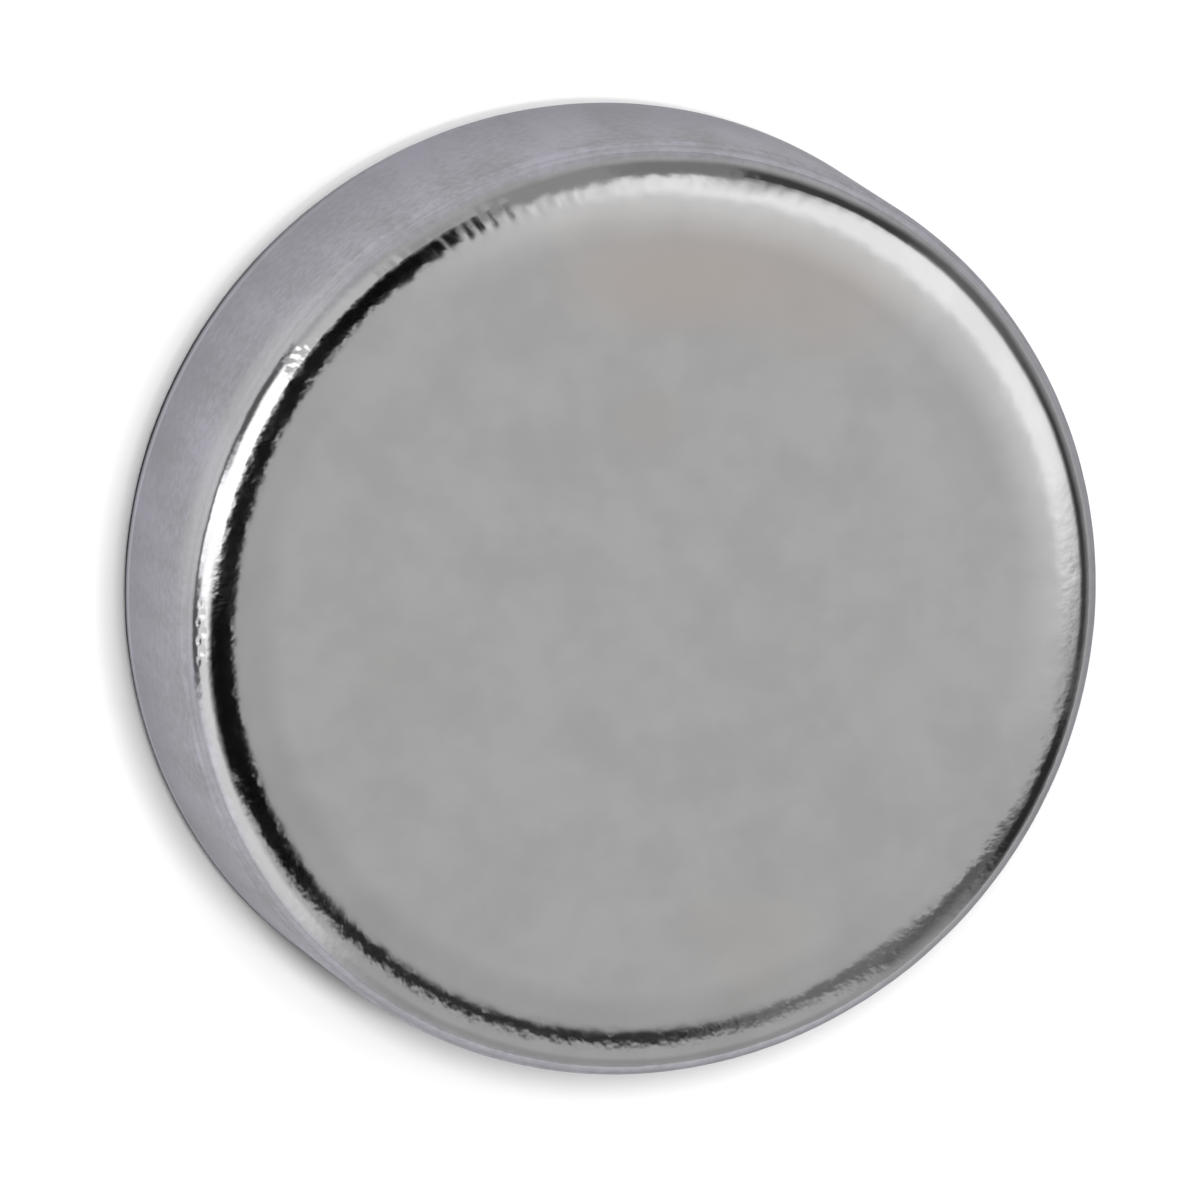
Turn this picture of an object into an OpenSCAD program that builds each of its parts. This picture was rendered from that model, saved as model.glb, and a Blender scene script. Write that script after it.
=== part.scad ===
// Disc magnet: one sintered disc with a ground wall, two lapped flat faces and tumbled rims.
// The origin is the centre of the lower face, and +Z runs along the disc's axis.
// Each rim is a compound curve. The flat face rolls off gently, then a tight rounding
// turns the section down into the wall, and all four stretches meet tangent.

/* [Disc] */
// Diameter over the ground wall
disc_d = 10; // [6:0.5:20]
// Thickness between the two flat faces
disc_t = 3; // [2:0.25:8]

/* [Tumbled rims] */
// Width of the gentle roll-off, measured along the face
roll_w = 0.65; // [0.3:0.05:1]
// Radius of the roll-off's curve
roll_r = 3.2; // [2.5:0.1:6]
// Radius of the tight rounding between the roll-off and the wall
edge_r = 0.35; // [0.15:0.05:0.6]

/* [Hidden] */
$fn = 128;
nickel = [0.73, 0.73, 0.75];

disc_r = disc_d / 2;
// Angle through which the roll-off turns before the tight rounding takes over
roll_a = asin(roll_w / (roll_r - edge_r));
// Depth of the tight rounding's centre below the flat face
edge_depth = roll_r - (roll_r - edge_r) * cos(roll_a);
// The wedges that hold the worn corner run this far past it
reach = disc_t;

// Wedge over the roll-off, from the end of the flat face to the line through both centres
module roll_wedge() {
    polygon([
        [-roll_w, 0],
        [0, 0],
        [reach * sin(roll_a), reach * cos(roll_a)],
        [-roll_w, reach * cos(roll_a)]
    ]);
}

// Wedge over the tight rounding, from that line down to the level of its centre
module edge_wedge() {
    polygon([
        [0, 0],
        [reach, 0],
        [reach, reach],
        [reach * sin(roll_a), reach * cos(roll_a)]
    ]);
}

// What tumbling wears off a square corner, drawn from the point of that corner
module worn_corner() {
    edge_centre = [-edge_r, -edge_depth];
    difference() {
        translate(edge_centre)
            roll_wedge();
        translate([-edge_r - roll_w, -roll_r])
            circle(r = roll_r);
    }
    translate(edge_centre)
        difference() {
            edge_wedge();
            circle(r = edge_r);
        }
}

// Half section of the disc: the ground blank less its two worn corners
module disc_section() {
    difference() {
        square([disc_r, disc_t]);
        translate([disc_r, disc_t])
            worn_corner();
        translate([disc_r, 0])
            mirror([0, 1])
                worn_corner();
    }
}

module disc_magnet() {
    color(nickel)
        rotate_extrude()
            disc_section();
}

disc_magnet();
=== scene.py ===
"""Nickel plated disc magnet with tumbled rims, on a pale studio floor."""

from collections import namedtuple
from math import acos, asin, cos, degrees, hypot, pi, radians, sin
from types import SimpleNamespace

import bmesh
import bpy
from bpy.props import FloatProperty, FloatVectorProperty, IntProperty, PointerProperty
from mathutils import Matrix, Vector, noise


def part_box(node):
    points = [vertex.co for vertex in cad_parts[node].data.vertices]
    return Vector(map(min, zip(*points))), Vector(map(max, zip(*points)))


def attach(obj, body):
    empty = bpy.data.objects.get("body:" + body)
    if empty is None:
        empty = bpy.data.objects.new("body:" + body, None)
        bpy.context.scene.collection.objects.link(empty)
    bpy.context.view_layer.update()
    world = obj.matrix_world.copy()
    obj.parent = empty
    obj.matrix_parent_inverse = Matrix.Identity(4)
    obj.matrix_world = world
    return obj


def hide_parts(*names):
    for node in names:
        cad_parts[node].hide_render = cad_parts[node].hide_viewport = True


bl_info = {
    "name": "Disc magnet",
    "version": (1, 0, 0),
    "blender": (4, 5, 0),
    "location": "View3D > Sidebar > Magnet",
    "description": "Builds a nickel plated disc magnet with tumbled rims, and its stage",
    "category": "Add Mesh",
}

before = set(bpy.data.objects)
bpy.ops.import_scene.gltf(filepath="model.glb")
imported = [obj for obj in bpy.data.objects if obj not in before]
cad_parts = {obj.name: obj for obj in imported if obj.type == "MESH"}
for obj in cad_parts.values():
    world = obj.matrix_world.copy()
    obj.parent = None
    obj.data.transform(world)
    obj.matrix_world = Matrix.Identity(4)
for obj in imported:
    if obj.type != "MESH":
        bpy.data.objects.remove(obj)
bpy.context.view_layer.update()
NODE = "disc_magnet"
disc_low, disc_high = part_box(NODE)
MM = 0.001


# --- Sizes, colours and light that a user would change ----------------------------------


def length(name, description, default, low, high):
    """A size in metres."""
    return FloatProperty(
        name=name,
        description=description,
        default=default,
        min=low,
        max=high,
        precision=5,
        subtype="DISTANCE",
        unit="LENGTH",
    )


def factor(name, description, default):
    """A share from 0 to 1."""
    return FloatProperty(
        name=name,
        description=description,
        default=default,
        min=0.0,
        max=1.0,
        subtype="FACTOR",
    )


def colour(name, description, default):
    """A linear colour."""
    return FloatVectorProperty(
        name=name,
        description=description,
        default=default,
        min=0.0,
        max=1.0,
        subtype="COLOR",
    )


def light(name, description, default):
    """Strength of a light."""
    return FloatProperty(name=name, description=description, default=default, min=0.0, max=10.0)


class MagnetShape(bpy.types.PropertyGroup):
    """Shape of the disc and of its two tumbled rims."""

    radius: length("Radius", "Radius of the ground wall", disc_high.x, 0.003, 0.01)
    thickness: length(
        "Thickness", "Distance between the flat faces", disc_high.z - disc_low.z, 0.002, 0.008
    )
    roll_width: length(
        "Roll-off width", "Width of the gentle curve beside the face", 0.65 * MM, 0.0003, MM
    )
    roll_radius: length(
        "Roll-off radius", "Radius of that gentle curve", 3.2 * MM, 0.0025, 0.006
    )
    edge_radius: length(
        "Edge radius", "Radius of the tight rounding", 0.35 * MM, 0.00015, 0.0006
    )
    waviness: length(
        "Waviness", "Depth of the tumbled rims' slight lobes", 0.0025 * MM, 0.0, 0.00002
    )
    scallops: length(
        "Scallops",
        "Depth of the uneven line where the face meets the rim",
        0.0008 * MM,
        0.0,
        0.00001,
    )
    steps: IntProperty(
        name="Steps",
        description="Number of facets in a sixteenth of a turn",
        default=60,
        min=6,
        max=90,
    )


class MagnetFinish(bpy.types.PropertyGroup):
    """Colours and gloss of the plating."""

    nickel: colour("Nickel", "Bright plating on faces and rims", (0.42, 0.42, 0.42))
    warm: colour("Warm tint", "Faint warm haze on the faces", (0.43, 0.41, 0.395))
    haze: colour("Haze", "Faint brown haze here and there on the upper face", (0.45, 0.405, 0.38))
    wall: colour("Wall", "Plating over the ground wall", (0.42, 0.411, 0.46))
    # The seam's colour is also used, darker still, for the shade painted on the wall's foot
    seam: colour("Seam", "Dull grains where the face meets the rim", (0.12, 0.12, 0.12))
    face_roughness: factor("Face roughness", "Roughness of the lapped faces", 0.22)
    rim_roughness: factor("Rim roughness", "Roughness of the tumbled rims", 0.075)
    wall_roughness: factor("Wall roughness", "Roughness of the ground wall", 0.5)


class StageLook(bpy.types.PropertyGroup):
    """Light and floor of the stage."""

    walls: factor("Studio walls", "Brightness of the studio as the metal mirrors it", 0.79)
    fill: light("Fill", "Even light from all round on the floor", 0.02)
    overhead: light("Overhead light", "Strength of the light nearly overhead", 1.20)
    broad: light("Broad light", "Strength of the broad light that leans in from behind", 0.95)
    side: light("Side light", "Strength of the light that leans in from the left", 1.37)


# --- Mesh of the disc -------------------------------------------------------------------

# Points nearer than this are one point
MERGE = 1e-7
# The disc is spun through a sixteenth of a turn, which is doubled this many times
DOUBLINGS = 4
# Pieces that the stretches of the half section are drawn in
ROLL_PIECES = 16
ROUNDING_PIECES = 26
WALL_PIECES = 3
FACE_PIECES = 3


def spin_arc(bm, start, centre, angle, steps):
    """Draws an arc in the section from a vertex, and gives the arc's last vertex."""
    spun = bmesh.ops.spin(
        bm,
        geom=[start],
        cent=centre,
        axis=(0, 1, 0),
        angle=angle,
        steps=steps,
        use_merge=False,
        use_duplicate=False,
    )
    return next(g for g in spun["geom_last"] if isinstance(g, bmesh.types.BMVert))


def draw_line(bm, start, end, pieces):
    """Draws a straight stretch of the section from a vertex, in equal pieces."""
    step = (Vector(end) - start.co) / pieces
    for _ in range(pieces):
        grown = bmesh.ops.extrude_vert_indiv(bm, verts=[start])
        start = grown["verts"][0]
        bmesh.ops.translate(bm, verts=[start], vec=step)
    return start


def section_sizes(shape):
    """Angle of the roll-off, and depth of the tight rounding's centre below the face."""
    turn = asin(shape.roll_width / (shape.roll_radius - shape.edge_radius))
    depth = shape.roll_radius - (shape.roll_radius - shape.edge_radius) * cos(turn)
    return turn, depth


def spin_disc(shape):
    """The whole disc, spun from its half section, with the lower face on the ground."""
    bm = bmesh.new()
    top = shape.thickness / 2
    face_radius = shape.radius - shape.edge_radius - shape.roll_width
    turn, depth = section_sizes(shape)
    start = bm.verts.new((face_radius, 0, top))
    end = spin_arc(bm, start, (face_radius, 0, top - shape.roll_radius), turn, ROLL_PIECES)
    centre = (shape.radius - shape.edge_radius, 0, top - depth)
    end = spin_arc(bm, end, centre, pi / 2 - turn, ROUNDING_PIECES)
    draw_line(bm, end, (shape.radius, 0, 0), WALL_PIECES)
    draw_line(bm, start, (0, 0, top), FACE_PIECES)
    bmesh.ops.mirror(bm, geom=bm.verts[:] + bm.edges[:], axis="Z", merge_dist=MERGE)
    bmesh.ops.translate(bm, verts=bm.verts[:], vec=(0, 0, top))
    sector = 2 * pi / 2**DOUBLINGS
    bmesh.ops.spin(
        bm,
        geom=bm.verts[:] + bm.edges[:],
        cent=(0, 0, 0),
        axis=(0, 0, 1),
        angle=sector,
        steps=shape.steps,
        use_merge=False,
    )
    for doubling in range(DOUBLINGS):
        twin = bmesh.ops.duplicate(bm, geom=bm.verts[:] + bm.edges[:] + bm.faces[:])
        verts = [g for g in twin["geom"] if isinstance(g, bmesh.types.BMVert)]
        turned = Matrix.Rotation(sector * 2**doubling, 3, "Z")
        bmesh.ops.rotate(bm, verts=verts, cent=(0, 0, 0), matrix=turned)
    bmesh.ops.remove_doubles(bm, verts=bm.verts[:], dist=MERGE)
    bmesh.ops.recalc_face_normals(bm, faces=bm.faces[:])
    return bm


# Knocks on the rims: angle round the disc, height as a share of the thickness, how far
# in from the wall, width and depth
KNOCKS = (
    (radians(144.2), 0.959, 0.175 * MM, 0.030 * MM, 0.006 * MM),
    (radians(145.3), 0.965, 0.20 * MM, 0.025 * MM, 0.005 * MM),
    (radians(143.2), 0.955, 0.165 * MM, 0.026 * MM, 0.005 * MM),
    (radians(144.7), 0.950, 0.13 * MM, 0.025 * MM, 0.005 * MM),
    (radians(142.5), 0.964, 0.21 * MM, 0.024 * MM, 0.004 * MM),
    (radians(177.2), 0.953, 0.14 * MM, 0.022 * MM, 0.006 * MM),
    (radians(178.6), 0.958, 0.17 * MM, 0.024 * MM, 0.008 * MM),
    (radians(179.7), 0.951, 0.13 * MM, 0.024 * MM, 0.009 * MM),
    (radians(180.9), 0.960, 0.19 * MM, 0.026 * MM, 0.009 * MM),
    (radians(182.0), 0.953, 0.14 * MM, 0.025 * MM, 0.010 * MM),
    (radians(183.3), 0.957, 0.17 * MM, 0.028 * MM, 0.010 * MM),
    (radians(184.6), 0.952, 0.13 * MM, 0.024 * MM, 0.008 * MM),
    (radians(25.0), 0.03, 0.2 * MM, 0.06 * MM, 0.009 * MM),
    (radians(262.0), 0.04, 0.25 * MM, 0.05 * MM, 0.008 * MM),
)
# A knock reaches out to this many times its width
KNOCK_REACH = 1.6
# Wear starts on this share of the roll-off's width
WEAR_START = 0.4
# Length of the lobes. Along the axis, and in their second and slower part, they follow one
# another at these shares of that pace.
LOBE_LENGTH = 0.14 * MM
LOBE_SQUEEZE = 0.6
SLOW_LOBE = 0.43
# The scallops lie where the surface leans by this many degrees, and fade within this many
SCALLOP_LEAN = 14
SCALLOP_SPREAD = 12


def lobe_drop(vert, shape):
    """How far the slight lobes of a tumbled rim lower this point."""
    tilt = abs(vert.normal.z)
    bend = 4 * tilt * (1 - tilt)
    place = Vector((vert.co.x, vert.co.y, vert.co.z * LOBE_SQUEEZE)) / LOBE_LENGTH
    lobe = noise.noise(place) * 0.6 + noise.noise(place * SLOW_LOBE + Vector((7, 1, 3)))
    return shape.waviness * bend * max(0.0, 0.9 + lobe)


def scallop_drop(vert, shape):
    """How far the uneven line between face and rim lowers this point."""
    lean = degrees(acos(min(1.0, abs(vert.normal.z))))
    near = max(0.0, 1 - ((lean - SCALLOP_LEAN) / SCALLOP_SPREAD) ** 2)
    place = vert.co / LOBE_LENGTH
    dent = noise.noise(place) + 0.4 * noise.noise(place * 2)
    return shape.scallops * near * max(0.0, 0.8 + dent)


def wear_rims(bm, shape):
    """Lowers the rims by slight lobes and a few small knocks, always into the metal."""
    bm.normal_update()
    depth = section_sizes(shape)[1]
    flat = shape.radius - shape.edge_radius - shape.roll_width * WEAR_START
    for vert in bm.verts:
        on_wall = depth < vert.co.z < shape.thickness - depth
        if on_wall or hypot(vert.co.x, vert.co.y) < flat:
            continue
        vert.co -= vert.normal * (lobe_drop(vert, shape) + scallop_drop(vert, shape))
    for angle, share, inset, width, drop in KNOCKS:
        reach = shape.radius - inset
        centre = Vector((reach * cos(angle), reach * sin(angle), share * shape.thickness))
        for vert in bm.verts:
            past = (vert.co - centre).length / (width * KNOCK_REACH)
            if past < 1:
                vert.co -= vert.normal * drop * (1 - past**2) ** 2
    bm.normal_update()


def finish_piece(bm, name, material):
    """Makes the mesh a smooth piece with its material."""
    mesh = bpy.data.meshes.new(name)
    bm.to_mesh(mesh)
    bm.free()
    mesh.shade_smooth()
    mesh.materials.append(material)
    piece = bpy.data.objects.new(name, mesh)
    bpy.context.scene.collection.objects.link(piece)
    return piece


# --- Node helpers -----------------------------------------------------------------------


# How the nodes are laid out in the editor
NODE_ACROSS = 40
NODE_DOWN = 160
NODE_ROWS = 7


class Sheet:
    """Adds nodes to a node tree and joins them up."""

    def __init__(self, tree):
        self.tree = tree
        self.made = 0

    def node(self, kind, values=None, **settings):
        """One node with its settings and inputs. A socket as a value makes a link."""
        made = self.tree.nodes.new(kind)
        made.location = (self.made * NODE_ACROSS, -(self.made % NODE_ROWS) * NODE_DOWN)
        self.made += 1
        for key, value in settings.items():
            setattr(made, key, value)
        for key, value in (values or {}).items():
            self.plug(made.inputs[key], value)
        return made

    def plug(self, socket, value):
        """Links a socket, or sets a plain value."""
        if isinstance(value, bpy.types.NodeSocket):
            self.tree.links.new(value, socket)
        else:
            socket.default_value = value

    def math(self, operation, first, second=0.0, third=0.0, clamp=False):
        """A Math node's result."""
        made = self.node(
            "ShaderNodeMath",
            {0: first, 1: second, 2: third},
            operation=operation,
            use_clamp=clamp,
        )
        return made.outputs[0]

    def vector(self, operation, first, second=None, scale=None):
        """A Vector Math node."""
        values = {0: first}
        if second is not None:
            values[1] = second
        if scale is not None:
            values["Scale"] = scale
        return self.node("ShaderNodeVectorMath", values, operation=operation)

    def ramp(self, value, low, high, out_low=0.0, out_high=1.0):
        """A smooth step from out_low to out_high as the value goes from low to high."""
        made = self.node(
            "ShaderNodeMapRange",
            {
                "Value": value,
                "From Min": low,
                "From Max": high,
                "To Min": out_low,
                "To Max": out_high,
            },
            interpolation_type="SMOOTHSTEP",
        )
        return made.outputs[0]

    def band(self, value, rise, fall, share=1.0):
        """A mask that comes in over the rise, stays at its share and goes over the fall."""
        falling = self.ramp(value, *fall, share, 0.0)
        return self.math("MULTIPLY", self.ramp(value, *rise), falling)

    def swing(self, value, size):
        """A noise value turned into a swing either way."""
        return self.math("MULTIPLY", self.math("SUBTRACT", value, 0.5), size)

    def mix(self, share, first, second):
        """Two colours mixed."""
        made = self.node("ShaderNodeMix", {0: share, 6: first, 7: second}, data_type="RGBA")
        return made.outputs[2]

    def blend(self, share, first, second):
        """Two values mixed."""
        made = self.node("ShaderNodeMix", {0: share, 2: first, 3: second}, data_type="FLOAT")
        return made.outputs[0]

    def noise(self, place, scale, detail=2.0, roughness=0.5):
        """A noise value from 0 to 1."""
        made = self.node(
            "ShaderNodeTexNoise",
            {"Vector": place, "Scale": scale, "Detail": detail, "Roughness": roughness},
        )
        return made.outputs[0]


def rgba(value):
    """A colour with full opacity."""
    return (*value, 1.0)


def shade(colour, factor):
    """A colour made darker or lighter, with full opacity."""
    return rgba([min(1.0, channel * factor) for channel in colour])


def emptied_tree(owner):
    """The node tree of a new material or world, with nothing in it."""
    owner.use_nodes = True
    owner.node_tree.nodes.clear()
    return owner.node_tree


def new_group(name, inputs, outputs):
    """A shader node group with float or vector sockets, and a sheet to fill it on."""
    group = bpy.data.node_groups.new(name, "ShaderNodeTree")
    kinds = {"float": "NodeSocketFloat", "vector": "NodeSocketVector"}
    for label, kind, value in inputs:
        socket = group.interface.new_socket(name=label, in_out="INPUT", socket_type=kinds[kind])
        if kind == "float":
            socket.default_value = value
    for label, kind in outputs:
        group.interface.new_socket(name=label, in_out="OUTPUT", socket_type=kinds[kind])
    sheet = Sheet(group)
    entry = sheet.node("NodeGroupInput")
    leave = sheet.node("NodeGroupOutput")
    return group, sheet, entry, leave


# --- Nickel plating -----------------------------------------------------------------------

# Nickel stays this dark at a grazing angle, where glass would brighten
GRAZING = (0.5, 0.5, 0.5)
# Faint haze on the upper face: middle, half sizes along X and Y, all in millimetres, and share
HAZES = (
    ((0.35, 3.6, 3.0), (1.5, 0.65), 0.75),
    ((-0.05, 2.1, 3.0), (0.5, 0.4), 0.25),
    ((1.9, 3.2, 3.0), (0.9, 0.6), 0.4),
)
# Half size of the haze along Z
HAZE_DEPTH = 0.5
# Where one kind of surface gives way to the next, in millimetres past the roll-off's end
FACE_FADE = (-0.36, -0.12)
LAPPED_FADE = (-0.5, -0.22)
RIM_RISE = (-0.22, -0.06)
# and up the tight rounding, as shares of its radius
WALL_FADE = (0.66, 0.93)
GROUND_FADE = (0.45, 0.62)
# How far those borders swing to and fro, in millimetres
FRAY = 0.08
# Middle of the stretch of the rim that has long teeth, in millimetres
TOOTHED_PLACE = (-2.0, 4.1, 2.9)
# Heights of the relief, in millimetres. The teeth are high at that place and low elsewhere.
STROKE_HEIGHT = 0.0012
TOOTH_HEIGHT = 0.0034
LOW_TOOTH_HEIGHT = 0.0002
LINE_HEIGHT = 0.0008
SPECK_HEIGHT = 0.001
# Where shade is painted on the wall's foot, which is rough there too, and where a bright line is
# painted above it, in millimetres above the ground
FOOT_SHADE = ((0.24, 0.31), (0.41, 0.48))
FOOT_HIGHLIGHT = ((0.48, 0.52), (0.54, 0.59))
# Sides of the disc, as angles round it: one with smoother rims, and those where a highlight and
# shade are painted
SMOOTH_SIDE = 60
WALL_HIGHLIGHT_SIDE = 157
RIM_SHADE_SIDE = 3
FOOT_SIDE = 195
FOOT_ROUGHNESS = 0.85


def streak_group():
    """Noise drawn out along one direction and fine in the other, on the disc's own grid."""
    group, sheet, entry, leave = new_group(
        "Drawn out noise",
        [
            ("Round", "vector", None),
            ("Along", "float", 0.0),
            ("Per millimetre round", "float", 5.0),
            ("Per millimetre along", "float", 1.0),
            ("Slant", "float", 0.0),
            ("Detail", "float", 2.0),
        ],
        [("Value", "float")],
    )
    turn = sheet.math("MULTIPLY", entry.outputs["Along"], entry.outputs["Slant"])
    ring = sheet.node(
        "ShaderNodeVectorRotate",
        {"Vector": entry.outputs["Round"], "Angle": turn},
        rotation_type="Z_AXIS",
    ).outputs[0]
    # Scaled up to the wall's radius, a step of 1 round the ring is a millimetre
    ring = sheet.vector("SCALE", ring, scale=disc_high.x / MM).outputs[0]
    ring = sheet.vector("SCALE", ring, scale=entry.outputs["Per millimetre round"]).outputs[0]
    rise = sheet.math("MULTIPLY", entry.outputs["Along"], entry.outputs["Per millimetre along"])
    lift = sheet.node("ShaderNodeCombineXYZ", {0: 0.0, 1: 0.0, 2: rise}).outputs[0]
    place = sheet.vector("ADD", ring, lift).outputs[0]
    value = sheet.noise(place, 1.0, entry.outputs["Detail"])
    sheet.plug(leave.inputs["Value"], value)
    return group


class DiscSheet(Sheet):
    """A sheet that knows where a point of the disc is. Lengths are in millimetres."""

    def __init__(self, tree, shape):
        super().__init__(tree)
        self.edge = shape.edge_radius / MM
        self.roll_end = (shape.radius - shape.edge_radius) / MM
        self.wall_half = (shape.thickness / 2 - section_sizes(shape)[1]) / MM
        place = self.node("ShaderNodeTexCoord").outputs["Object"]
        self.point = self.vector("SCALE", place, scale=1 / MM).outputs[0]
        flat = self.vector("MULTIPLY", self.point, (1, 1, 0)).outputs[0]
        # Direction and distance from the axis, height, distance from mid-height, and travel
        # along the section of a rim
        self.around = self.vector("NORMALIZE", flat).outputs[0]
        self.across = self.vector("LENGTH", flat).outputs["Value"]
        self.height = self.node("ShaderNodeSeparateXYZ", {0: self.point}).outputs[2]
        above = self.math("SUBTRACT", self.height, shape.thickness / MM / 2)
        self.middle = self.math("ABSOLUTE", above)
        self.along = self.math("SUBTRACT", self.across, self.middle)
        self.drawn = streak_group()

    def streaks(self, travel, per_round, per_along, slant=0.0, detail=2.0):
        """Noise with this many waves per millimetre round the disc and along the travel."""
        made = self.node("ShaderNodeGroup", node_tree=self.drawn)
        values = (self.around, travel, per_round, per_along, slant, detail)
        for socket, value in zip(made.inputs, values):
            self.plug(socket, value)
        return made.outputs[0]

    def side_on(self, angle, low, high):
        """A mask that is 1 on the side of the disc at this angle."""
        towards = (cos(radians(angle)), sin(radians(angle)), 0)
        facing = self.vector("DOT_PRODUCT", self.around, towards).outputs["Value"]
        return self.ramp(facing, low, high)

    def past_roll(self, *distances):
        """Distances from the axis, given from the end of the roll-off."""
        return [self.roll_end + distance for distance in distances]

    def up_rounding(self, *shares):
        """Distances from mid-height, given as shares of the tight rounding's radius."""
        return [self.wall_half + share * self.edge for share in shares]


def plating_marks(sheet):
    """The marks in the plating, as noise values from 0 to 1."""
    along, height, point = sheet.along, sheet.height, sheet.point
    return SimpleNamespace(
        # Strokes and teeth across the rim, and a slower change that lets them come and go
        strokes=sheet.streaks(along, per_round=12.0, per_along=9.0, slant=-0.05, detail=1.0),
        teeth=sheet.streaks(along, per_round=8.5, per_along=1.0, slant=-0.03, detail=0.0),
        patches=sheet.streaks(along, per_round=1.6, per_along=1.2),
        # Lines and bands round the ground wall
        grinding=sheet.streaks(height, per_round=0.9, per_along=26.0, detail=3.0),
        bands=sheet.streaks(height, per_round=1.4, per_along=0.35, detail=3.0),
        # Grains, specks and clouds anywhere, from the finest to the widest
        grains=sheet.noise(point, scale=22.0, detail=1.0),
        speckle=sheet.noise(point, scale=11.0, detail=2.0, roughness=0.6),
        coarse=sheet.noise(point, scale=7.0, detail=1.0),
        mottle=sheet.noise(point, scale=1.2, detail=3.0, roughness=0.55),
        cloud=sheet.noise(point, scale=0.35, detail=2.0),
    )


def plating_masks(sheet, marks):
    """Masks that are 1 on one kind of surface or side, and the frayed distance across."""
    frayed = sheet.math("ADD", sheet.across, sheet.swing(marks.strokes, FRAY))
    wall_edge = sheet.math("ADD", sheet.middle, sheet.swing(marks.patches, FRAY))
    ground = sheet.ramp(sheet.middle, *sheet.up_rounding(*GROUND_FADE), 1.0, 0.0)
    past_face = sheet.ramp(frayed, *sheet.past_roll(*RIM_RISE))
    # The side that the wall's foot faces, and the strip of that foot where shade is painted and
    # the finish is rough
    facing_foot = sheet.side_on(FOOT_SIDE, 0.1, 0.85)
    foot = sheet.band(sheet.height, *FOOT_SHADE, 0.97)
    return SimpleNamespace(
        frayed=frayed,
        face=sheet.ramp(frayed, *sheet.past_roll(*FACE_FADE), 1.0, 0.0),
        lapped=sheet.ramp(frayed, *sheet.past_roll(*LAPPED_FADE), 1.0, 0.0),
        rim=sheet.math("SUBTRACT", past_face, ground, clamp=True),
        wall=sheet.ramp(wall_edge, *sheet.up_rounding(*WALL_FADE), 1.0, 0.0),
        ground=ground,
        rougher=sheet.math("SUBTRACT", 1.0, sheet.side_on(SMOOTH_SIDE, 0.5, 0.85)),
        facing_foot=facing_foot,
        foot=sheet.math("MULTIPLY", foot, facing_foot),
    )


def face_tone(sheet, marks, masks, finish):
    """Mottled nickel, with faint warm haze on the faces."""
    tone = sheet.mix(
        sheet.ramp(marks.mottle, 0.3, 0.7),
        shade(finish.nickel, 0.95),
        shade(finish.nickel, 1.04),
    )
    warm = sheet.math("MULTIPLY", sheet.ramp(marks.cloud, 0.5, 0.75), 0.5)
    tone = sheet.mix(sheet.math("MULTIPLY", warm, masks.face), tone, rgba(finish.warm))
    for middle, reach, share in HAZES:
        away = sheet.vector("SUBTRACT", sheet.point, middle).outputs[0]
        away = sheet.vector("DIVIDE", away, (*reach, HAZE_DEPTH)).outputs[0]
        away = sheet.vector("LENGTH", away).outputs["Value"]
        tone = sheet.mix(sheet.ramp(away, 0.2, 1.3, share, 0.0), tone, rgba(finish.haze))
    return tone


def wall_tone(sheet, marks, masks, finish, tone):
    """The ground wall over the tone so far: banded, lined near its top, with shade painted darker
    downwards.
    """
    mixed = sheet.math("ADD", marks.bands, sheet.swing(marks.speckle, 0.7))
    lines = sheet.ramp(sheet.height, 2.3, 2.6, 0.2, 0.6)
    mixed = sheet.math("MULTIPLY_ADD", sheet.swing(marks.grinding, 1.0), lines, mixed)
    grey = sum(finish.wall) / 3
    greyer = [channel * 0.4 + grey * 0.6 for channel in finish.wall]
    banded = sheet.mix(
        sheet.ramp(mixed, 0.25, 0.75), shade(greyer, 0.81), shade(finish.wall, 1.10)
    )
    tone = sheet.mix(masks.wall, tone, banded)
    # Painted shade: the wall darkens towards its foot, standing in for the shadowed floor that it
    # mirrors
    lower = sheet.math("MULTIPLY", sheet.ramp(sheet.height, 0.5, 2.5, 0.55, 0.0), masks.wall)
    return sheet.mix(lower, tone, shade(finish.wall, 0.7))


def painted_light_tone(sheet, masks, finish, tone):
    """Painted shade and highlights over the tone so far, in strips on the tight rounding and at
    the wall's top and foot.
    """
    # Painted shade: the tight rounding next to the wall is darker, standing in for a dimmer
    # reflection there
    rounding = sheet.band(
        sheet.middle, sheet.up_rounding(0.36, 0.48), sheet.up_rounding(0.58, 0.85), 0.45
    )
    tone = sheet.mix(rounding, tone, shade(finish.wall, 0.72))
    # Painted highlight: a lighter strip at the wall's top on one side. Painted shade: a darker
    # strip on the rim of another side.
    painted_wall_highlight = sheet.ramp(sheet.height, 2.2, 2.62, 0.0, 0.5)
    painted_wall_highlight = sheet.math("MULTIPLY", painted_wall_highlight, sheet.side_on(WALL_HIGHLIGHT_SIDE, 0.87, 0.995))
    painted_wall_highlight = sheet.math("MULTIPLY", painted_wall_highlight, masks.wall)
    tone = sheet.mix(painted_wall_highlight, tone, shade(finish.nickel, 1.3))
    # Painted shade: a dark strip on the rim, standing in for a dark line that it mirrors on that
    # side
    painted_rim_shade = sheet.band(
        sheet.middle, sheet.up_rounding(0.52, 0.66), sheet.up_rounding(0.8, 0.95), 0.6
    )
    painted_rim_shade = sheet.math("MULTIPLY", painted_rim_shade, sheet.side_on(RIM_SHADE_SIDE, 0.45, 0.9))
    tone = sheet.mix(painted_rim_shade, tone, shade(finish.nickel, 0.6))
    # The foot of the wall on one side: a painted highlight line above a strip of painted shade,
    # which is also rough.
    painted_foot_highlight = sheet.band(sheet.height, *FOOT_HIGHLIGHT, 0.6)
    painted_foot_highlight = sheet.math("MULTIPLY", painted_foot_highlight, masks.facing_foot)
    tone = sheet.mix(painted_foot_highlight, tone, shade(finish.wall, 1.3))
    # Painted shade on the wall's foot, in the seam's colour made darker
    return sheet.mix(masks.foot, tone, shade(finish.seam, 0.3))


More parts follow.
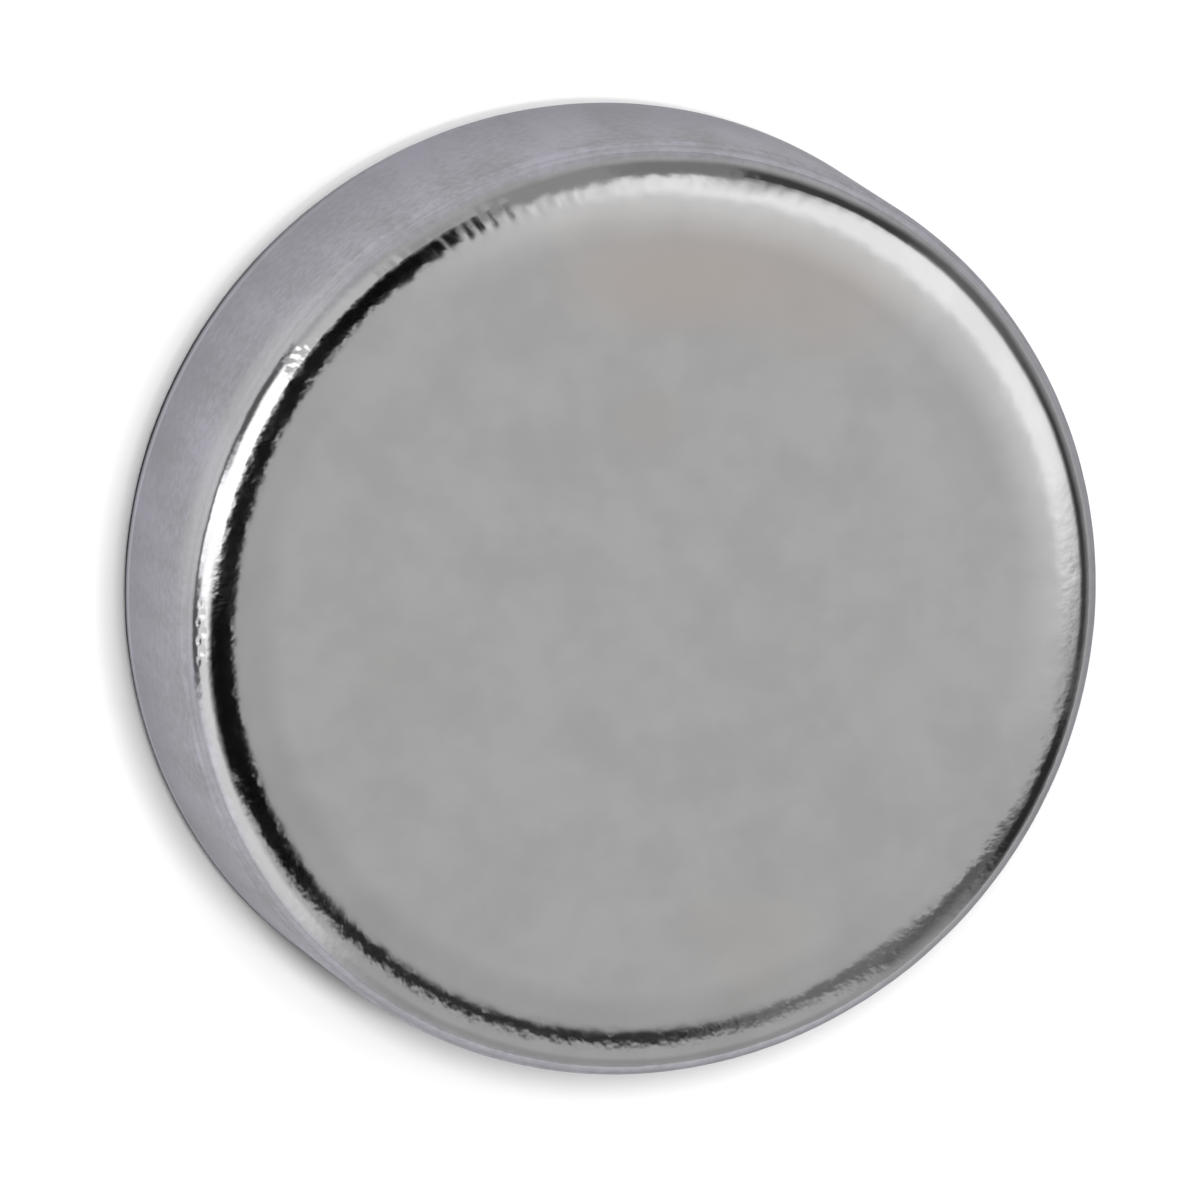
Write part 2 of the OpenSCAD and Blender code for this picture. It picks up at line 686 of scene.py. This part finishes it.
def seam_tone(sheet, marks, masks, finish, tone):
    """Dull grains over the tone so far, where the roll-off ends. One side has none."""
    off = sheet.math("ABSOLUTE", sheet.math("SUBTRACT", masks.frayed, sheet.roll_end))
    seam = sheet.math(
        "MULTIPLY", sheet.ramp(marks.patches, 0.35, 0.65), sheet.ramp(marks.grains, 0.45, 0.62)
    )
    seam = sheet.math("MULTIPLY", seam, sheet.ramp(off, 0.01, 0.05, 0.22, 0.0))
    seam = sheet.math("MULTIPLY", seam, masks.rougher)
    off_wall = sheet.ramp(sheet.middle, sheet.wall_half + 0.2, sheet.wall_half + 0.3)
    return sheet.mix(sheet.math("MULTIPLY", seam, off_wall), tone, rgba(finish.seam))


def plating_roughness(sheet, marks, masks, finish):
    """Satin faces, bright rims, a duller wall and its dull foot."""
    rough = sheet.blend(masks.lapped, finish.rim_roughness, finish.face_roughness)
    rough = sheet.blend(masks.ground, rough, finish.wall_roughness)
    rough = sheet.blend(masks.foot, rough, FOOT_ROUGHNESS)
    return sheet.math("ADD", rough, sheet.swing(marks.mottle, 0.05))


def plating_relief(sheet, marks, masks):
    """Normals of the strokes on the rims and of the lines on the wall, in millimetres."""
    away = sheet.vector("SUBTRACT", sheet.point, TOOTHED_PLACE).outputs[0]
    away = sheet.vector("LENGTH", away).outputs["Value"]
    strokes = sheet.swing(marks.strokes, STROKE_HEIGHT)
    relief = sheet.math("ADD", strokes, sheet.swing(marks.coarse, STROKE_HEIGHT))
    relief = sheet.math("MULTIPLY", relief, sheet.ramp(away, 0.7, 1.7, 0.35, 1.0))
    rougher = sheet.math("MULTIPLY_ADD", masks.rougher, 0.8, 0.2)
    relief = sheet.math("MULTIPLY", relief, rougher)
    toothed = sheet.ramp(away, 0.9, 1.9, TOOTH_HEIGHT, LOW_TOOTH_HEIGHT)
    relief = sheet.math("MULTIPLY_ADD", sheet.swing(marks.teeth, 1.0), toothed, relief)
    relief = sheet.math("MULTIPLY", relief, masks.rim)
    lines = sheet.swing(marks.grinding, LINE_HEIGHT)
    lines = sheet.math("ADD", lines, sheet.swing(marks.speckle, SPECK_HEIGHT))
    relief = sheet.math("MULTIPLY_ADD", lines, masks.ground, relief)
    bump = sheet.node("ShaderNodeBump", {"Strength": 1.0, "Distance": MM, "Height": relief})
    return bump.outputs[0]


def nickel_material(shape, finish):
    """Nickel plating: satin faces, mirror rims frayed by fine strokes, and a ground wall."""
    material = bpy.data.materials.new("nickel_plating")
    sheet = DiscSheet(emptied_tree(material), shape)
    marks = plating_marks(sheet)
    masks = plating_masks(sheet, marks)
    tone = face_tone(sheet, marks, masks, finish)
    tone = wall_tone(sheet, marks, masks, finish, tone)
    tone = painted_light_tone(sheet, masks, finish, tone)
    tone = seam_tone(sheet, marks, masks, finish, tone)
    shader = sheet.node(
        "ShaderNodeBsdfPrincipled",
        {
            "Base Color": tone,
            "Metallic": 1.0,
            "Roughness": plating_roughness(sheet, marks, masks, finish),
            "Specular Tint": rgba(GRAZING),
            "Normal": plating_relief(sheet, marks, masks),
        },
    )
    out = sheet.node("ShaderNodeOutputMaterial")
    sheet.tree.links.new(shader.outputs[0], out.inputs[0])
    return material


# --- Stage ------------------------------------------------------------------------------

# The side of the disc that is looked at: angle from upright, and angle round the disc
VIEW_TILT = radians(19.4)
VIEW_ROUND = radians(145.0)
VIEW_DISTANCE = 350 * MM
FRAME_WIDTH = 12.640 * MM
AIM_RIGHT = -0.1127 * MM
AIM_UP = -0.1222 * MM
SENSOR_WIDTH = 36
CLIP_NEAR = 0.01
CLIP_FAR = 2.0

WHITE = (1, 1, 1, 1)
FLOOR_WHITE = 0.95
FLOOR_REACH = 600 * MM
# The soft lamps: name, stage setting that holds the strength, lean from upright, angle
# round the disc that the lamp leans towards, and width, in degrees
LAMPS = (
    ("overhead light", "overhead", 3.5, 25, 9),
    ("broad light", "broad", 15.5, 97, 19),
    ("side light", "side", 20, 134, 8),
)


def view_axes():
    """Directions to the right, upwards and back towards the camera."""
    tilt_sin, tilt_cos = sin(VIEW_TILT), cos(VIEW_TILT)
    round_sin, round_cos = sin(VIEW_ROUND), cos(VIEW_ROUND)
    back = Vector((tilt_sin * round_cos, tilt_sin * round_sin, tilt_cos))
    lean = Vector((tilt_cos * round_cos, tilt_cos * round_sin, -tilt_sin))
    side = Vector((-round_sin, round_cos, 0))
    right = round_cos * lean - round_sin * side
    up = round_sin * lean + round_cos * side
    return right, up, back


# A card of the studio, placed by where the top rim mirrors it. round and spread are angles
# round the disc, low and high are tilts of the rim's surface, and each edge has a softness.
# low_slant and high_slant say how far those edges climb for each degree round.
Card = namedtuple(
    "Card", "name round spread side low low_slant low_soft high high_slant high_soft level"
)
CARDS = (
    Card("overhead light", 0, 400, 1, -9, 0, 1, 12.4, 0, 0.5, 0.845),
    Card("overhead light's dim side", 225, 70, 30, 2.0, 0, 3.5, 12.4, 0, 0.6, 0.78),
    Card("pale wall low down", 152, 52, 14, 44.0, 0, 8.0, 99.0, 0, 1.0, 1.00),
    Card("glow beside the panel", 58, 60, 28, 3.2, 0, 5.5, 24.0, 0, 2.0, 1.24),
    Card("bright panel", 52, 45, 13, 9.2, 0, 1.3, 19.5, 0, 5.0, 1.9),
    Card("upper end of the board", 137, 10, 4, 14.0, 0, 2.0, 33.0, 0, 8.0, 1.1),
    Card("near end of the board", 203, 21, 8, 19.0, -0.2, 6.0, 46.0, 0, 5.0, 1.4),
    Card("white board", 164.5, 20, 1.5, 12.0, 0, 1.0, 37.0, 0, 4.0, 2.5),
    Card("dim end of the board", 184, 7, 3, 25.0, 0, 7.0, 38.0, 0, 4.0, 1.45),
    Card("gap under the board", 166, 22, 3, 38.5, 0, 3.5, 49.5, 0, 3.0, 0.20),
    Card("lower part of the board", 166.5, 7, 4, 32.0, 0, 3.0, 45.2, 0, 2.5, 2.3),
    Card("far right flag", 22, 35, 8, 17.2, 0.08, 6.0, 33.0, 0, 8.5, 0.10),
    Card("grey join of the flags", 44, 12, 8, 19.0, 0, 6.5, 33.0, 0, 8.5, 0.28),
    Card("far flag", 67, 15, 5, 14.1, -0.17, 2.8, 31.0, 0, 8.0, 0.10),
    Card("far grey flag", 89, 10, 3, 12.8, 0, 0.6, 31.5, 0, 6.0, 0.41),
    Card("far pale flag", 105, 9, 4, 12.0, 0, 0.7, 31.5, 0, 7.0, 0.54),
    Card("wall past the board", 120, 6, 4, 13.0, 0, 1.5, 27.0, 0, 5.0, 0.68),
    Card("right flag", 334, 15, 7, 13.0, 0.05, 1.7, 34.5, 0, 9.0, 0.05),
    Card("right grey flag", 313, 10, 5, 11.2, 0, 1.0, 27.0, 0, 16.0, 0.36),
    Card("thin right gap", 316, 13, 6, 10.8, 0.03, 0.6, 13.6, 0.03, 1.2, 0.23),
    Card("near dip", 268, 36, 9, 22.0, 0, 5.0, 38.0, 0, 8.0, 0.62),
    Card("near right gap", 292, 18, 8, 9.1, 0, 0.8, 11.7, 0.02, 0.9, 0.30),
    Card("near gap", 240, 42, 7, 9.0, -0.006, 0.8, 11.7, -0.008, 0.8, 0.04),
    Card("left flag, near part", 209, 13, 4, 9.5, 0, 0.6, 13.2, -0.06, 1.0, 0.008),
    Card("left flag, middle part", 188, 15, 4, 9.5, 0, 0.5, 19.6, 0, 6.5, 0.006),
    Card("left flag", 146, 31, 5, 9.8, -0.014, 0.5, 14.1, -0.01, 1.0, 0.005),
)


def card_mask(sheet, card, tilt, turn):
    """A mask that is 1 on the card."""
    past = sheet.math("WRAP", sheet.math("SUBTRACT", turn, card.round), 180.0, -180.0)

    def climb(slant, start):
        """Tilt of one of the card's edges, which may climb with the angle round."""
        return sheet.math("MULTIPLY_ADD", past, slant, start) if slant else start

    over = sheet.ramp(
        tilt,
        climb(card.low_slant, card.low - card.low_soft),
        climb(card.low_slant, card.low + card.low_soft),
    )
    under = sheet.ramp(
        tilt,
        climb(card.high_slant, card.high - card.high_soft),
        climb(card.high_slant, card.high + card.high_soft),
        1.0,
        0.0,
    )
    off = sheet.math("ABSOLUTE", past)
    inside = sheet.ramp(off, card.spread - card.side, card.spread + card.side, 1.0, 0.0)
    return sheet.math("MULTIPLY", sheet.math("MULTIPLY", over, under), inside)


def studio_world(look):
    """Pale studio with an overhead light, a bright panel, a white board and dark flags."""
    world = bpy.data.worlds.new("studio")
    sheet = Sheet(emptied_tree(world))
    coordinates = sheet.node("ShaderNodeTexCoord")
    back = view_axes()[2]
    half = sheet.vector("ADD", coordinates.outputs["Generated"], tuple(back)).outputs[0]
    half = sheet.vector("NORMALIZE", half).outputs[0]
    x, y, z = sheet.node("ShaderNodeSeparateXYZ", {0: half}).outputs
    tilt = sheet.math("DEGREES", sheet.math("ARCCOSINE", sheet.math("MINIMUM", z, 1.0)))
    turn = sheet.math("DEGREES", sheet.math("ARCTAN2", y, x))
    level = look.walls
    for card in CARDS:
        level = sheet.blend(card_mask(sheet, card, tilt, turn), level, card.level)
    # The camera and the metal see the studio, and everything else the even fill
    path = sheet.node("ShaderNodeLightPath").outputs
    mirrored = sheet.math("MAXIMUM", path["Is Glossy Ray"], path["Is Transmission Ray"])
    seen = sheet.math("MAXIMUM", mirrored, path["Is Camera Ray"])
    fill = sheet.node("ShaderNodeBackground", {"Color": WHITE, "Strength": look.fill})
    studio = sheet.node("ShaderNodeBackground", {"Color": WHITE, "Strength": level})
    choice = sheet.node("ShaderNodeMixShader", {0: seen})
    sheet.tree.links.new(fill.outputs[0], choice.inputs[1])
    sheet.tree.links.new(studio.outputs[0], choice.inputs[2])
    out = sheet.node("ShaderNodeOutputWorld")
    sheet.tree.links.new(choice.outputs[0], out.inputs[0])
    bpy.context.scene.world = world


def floor_material():
    """White floor that keeps its shadow, clear when seen from below."""
    material = bpy.data.materials.new("floor")
    sheet = Sheet(emptied_tree(material))
    paper = sheet.node("ShaderNodeBsdfDiffuse", {"Color": shade(WHITE[:3], FLOOR_WHITE)})
    clear = sheet.node("ShaderNodeBsdfTransparent")
    side = sheet.node("ShaderNodeNewGeometry")
    choice = sheet.node("ShaderNodeMixShader", {0: side.outputs["Backfacing"]})
    sheet.tree.links.new(paper.outputs[0], choice.inputs[1])
    sheet.tree.links.new(clear.outputs[0], choice.inputs[2])
    out = sheet.node("ShaderNodeOutputMaterial")
    sheet.tree.links.new(choice.outputs[0], out.inputs[0])
    return material


def add_floor():
    """A plain square floor just under the disc."""
    bm = bmesh.new()
    bmesh.ops.create_grid(bm, x_segments=1, y_segments=1, size=FLOOR_REACH)
    floor = finish_piece(bm, "floor", floor_material())


def add_lamp(name, strength, lean, turn, width):
    """A soft light far away, which the metal doesn't mirror."""
    data = bpy.data.lights.new(name, "SUN")
    data.energy = strength
    data.angle = radians(width)
    lamp = bpy.data.objects.new(name, data)
    bpy.context.scene.collection.objects.link(lamp)
    lean, turn = radians(lean), radians(turn)
    towards = Vector((sin(lean) * cos(turn), sin(lean) * sin(turn), cos(lean)))
    lamp.rotation_euler = towards.to_track_quat("Z", "Y").to_euler()
    lamp.visible_glossy = False


def add_camera():
    """The camera, aimed a little beside the disc's middle."""
    right, up, back = view_axes()
    centre = (disc_low + disc_high) / 2 + right * AIM_RIGHT + up * AIM_UP
    data = bpy.data.cameras.new("camera")
    camera = bpy.data.objects.new("camera", data)
    bpy.context.scene.collection.objects.link(camera)
    data.sensor_width = SENSOR_WIDTH
    data.lens = SENSOR_WIDTH * VIEW_DISTANCE / FRAME_WIDTH
    data.clip_start, data.clip_end = CLIP_NEAR, CLIP_FAR
    turn = Matrix((right, up, back)).transposed()
    camera.matrix_world = Matrix.Translation(centre + back * VIEW_DISTANCE) @ turn.to_4x4()
    bpy.context.scene.camera = camera


# --- Operators, panel and registration ----------------------------------------------------


class MAGNET_OT_disc(bpy.types.Operator):
    """Spins the disc, wears its rims and plates it with nickel."""

    bl_idname = "magnet.disc"
    bl_label = "Disc magnet"

    def execute(self, context):
        shape, finish = context.scene.magnet_shape, context.scene.magnet_finish
        bm = spin_disc(shape)
        wear_rims(bm, shape)
        disc = finish_piece(bm, "magnet_body", nickel_material(shape, finish))
        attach(disc, "root")
        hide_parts(NODE)
        return {"FINISHED"}


class MAGNET_OT_stage(bpy.types.Operator):
    """Sets up the floor, the studio, the lamps and the camera."""

    bl_idname = "magnet.stage"
    bl_label = "Stage"

    def execute(self, context):
        look = context.scene.magnet_stage
        context.scene.view_settings.view_transform = "Standard"
        studio_world(look)
        add_floor()
        for name, strength, lean, turn, width in LAMPS:
            add_lamp(name, getattr(look, strength), lean, turn, width)
        add_camera()
        return {"FINISHED"}


class MAGNET_PT_panel(bpy.types.Panel):
    """Lists the sizes, the finish and the operators."""

    bl_idname = "MAGNET_PT_panel"
    bl_label = "Disc magnet"
    bl_space_type = "VIEW_3D"
    bl_region_type = "UI"
    bl_category = "Magnet"

    def draw(self, context):
        scene = context.scene
        for settings in (scene.magnet_shape, scene.magnet_finish, scene.magnet_stage):
            box = self.layout.box()
            for name in settings.__annotations__:
                box.prop(settings, name)
        self.layout.operator(MAGNET_OT_disc.bl_idname)
        self.layout.operator(MAGNET_OT_stage.bl_idname)


CLASSES = (
    MagnetShape,
    MagnetFinish,
    StageLook,
    MAGNET_OT_disc,
    MAGNET_OT_stage,
    MAGNET_PT_panel,
)


def register():
    """Adds the classes and their settings."""
    for cls in CLASSES:
        bpy.utils.register_class(cls)
    bpy.types.Scene.magnet_shape = PointerProperty(type=MagnetShape)
    bpy.types.Scene.magnet_finish = PointerProperty(type=MagnetFinish)
    bpy.types.Scene.magnet_stage = PointerProperty(type=StageLook)


def unregister():
    """Takes the classes and their settings away again."""
    del bpy.types.Scene.magnet_stage
    del bpy.types.Scene.magnet_finish
    del bpy.types.Scene.magnet_shape
    for cls in reversed(CLASSES):
        bpy.utils.unregister_class(cls)


def main():
    """Registers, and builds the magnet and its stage."""
    register()
    bpy.ops.magnet.disc()
    bpy.ops.magnet.stage()


if __name__ == "__main__":
    main()
